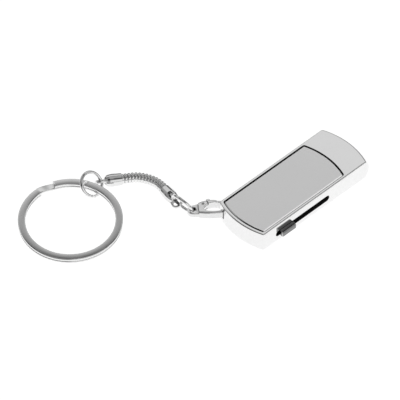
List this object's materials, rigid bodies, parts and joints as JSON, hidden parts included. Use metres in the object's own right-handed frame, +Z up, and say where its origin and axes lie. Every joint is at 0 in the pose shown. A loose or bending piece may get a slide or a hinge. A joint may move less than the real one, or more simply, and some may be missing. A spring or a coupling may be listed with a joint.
{
  "type": "usb flash drive",
  "caption": "Slide-out USB flash drive: bowed metal body, side slider, satin top panel, and a keychain of lobster clasp, snake chain and split ring.",
  "frame": {"origin": "middle of the drive body's flat underside", "axes": "+X along the drive towards its mouth, +Z up through the top panel, the slider slot faces -Y"},
  "size_m": [0.091, 0.0617, 0.0078],
  "materials": {
    "body_chrome": "bright plated, lightly brushed",
    "satin_panel": "fine satin",
    "dark_knob": "black nickel, glossy",
    "keychain_chrome": "bright nickel plated",
    "steel": "plain sheet steel",
    "gold_contact": "gold plated",
    "black_plastic": "fine moulded",
    "board": "solder mask",
    "ceramic": "fired ceramic",
    "adhesive": "tacky film"
  },
  "bodies": {
    "housing": {"housing_shell": "body_chrome", "base_cover": "body_chrome", "top_panel": "satin_panel", "panel_adhesive": "adhesive", "cover_screw_front_near": "steel", "cover_screw_front_far": "steel", "cover_screw_rear": "steel", "slider_guide": "black_plastic", "detent_spring": "steel"},
    "carriage": {"carriage_tray": "black_plastic", "carriage_cover": "black_plastic", "slider_knob": "dark_knob", "plug_shell": "steel", "plug_insulator": "black_plastic", "plug_contact_1": "gold_contact", "plug_contact_2": "gold_contact", "plug_contact_3": "gold_contact", "plug_contact_4": "gold_contact", "circuit_board": "board", "memory_chip": "black_plastic", "controller_chip": "black_plastic", "crystal": "steel", "capacitor_1": "ceramic", "capacitor_2": "ceramic", "capacitor_3": "ceramic"},
    "clasp": {"clasp_body": "keychain_chrome", "clasp_rivet": "steel", "clasp_spring": "steel"},
    "trigger": {"clasp_trigger": "keychain_chrome"},
    "link": {"link_ring": "keychain_chrome"},
    "chain_near": {"ferrule_near": "keychain_chrome", "snake_chain_near": "keychain_chrome"},
    "chain_far": {"snake_chain_far": "keychain_chrome", "ferrule_far": "keychain_chrome"},
    "jump": {"jump_ring": "keychain_chrome"},
    "split": {"split_ring": "keychain_chrome"}
  },
  "joints": [
    {"name": "carriage_slide", "type": "slide", "parent": "housing", "child": "carriage", "axis": [1, 0, 0], "range_m": [0, 0.014]},
    {"name": "clasp_swing", "type": "hinge", "parent": "housing", "child": "clasp", "pos_m": [-0.0202, 0.0088, 0.0033], "axis": [0, 0, 1], "range_deg": [-25, 25]},
    {"name": "trigger_press", "type": "hinge", "parent": "clasp", "child": "trigger", "pos_m": [-0.02314, 0.013, 0.0033], "axis": [0, 0, -1], "range_deg": [0, 18], "stiffness_Nm_per_rad": 0.002, "springref_deg": -11.46},
    {"name": "link_turn", "type": "hinge", "parent": "clasp", "child": "link", "pos_m": [-0.02643, 0.01366, 0.0033], "axis": [0, 0, 1], "range_deg": [-15, 15]},
    {"name": "ferrule_turn", "type": "hinge", "parent": "link", "child": "chain_near", "pos_m": [-0.02642, 0.02027, 0.00198], "axis": [0, 0, 1], "range_deg": [-15, 15]},
    {"name": "chain_flex", "type": "hinge", "parent": "chain_near", "child": "chain_far", "pos_m": [-0.02641, 0.03306, 0.00198], "axis": [0, 0, 1], "range_deg": [-20, 20]},
    {"name": "jump_turn", "type": "hinge", "parent": "chain_far", "child": "jump", "pos_m": [-0.03645, 0.04118, 0.00198], "axis": [0, 0, 1], "range_deg": [-12, 12]},
    {"name": "split_turn", "type": "hinge", "parent": "jump", "child": "split", "pos_m": [-0.0531, 0.03618, 0.00181], "axis": [-0.0434, -0.0364, 0.9984], "continuous": true}
  ]
}
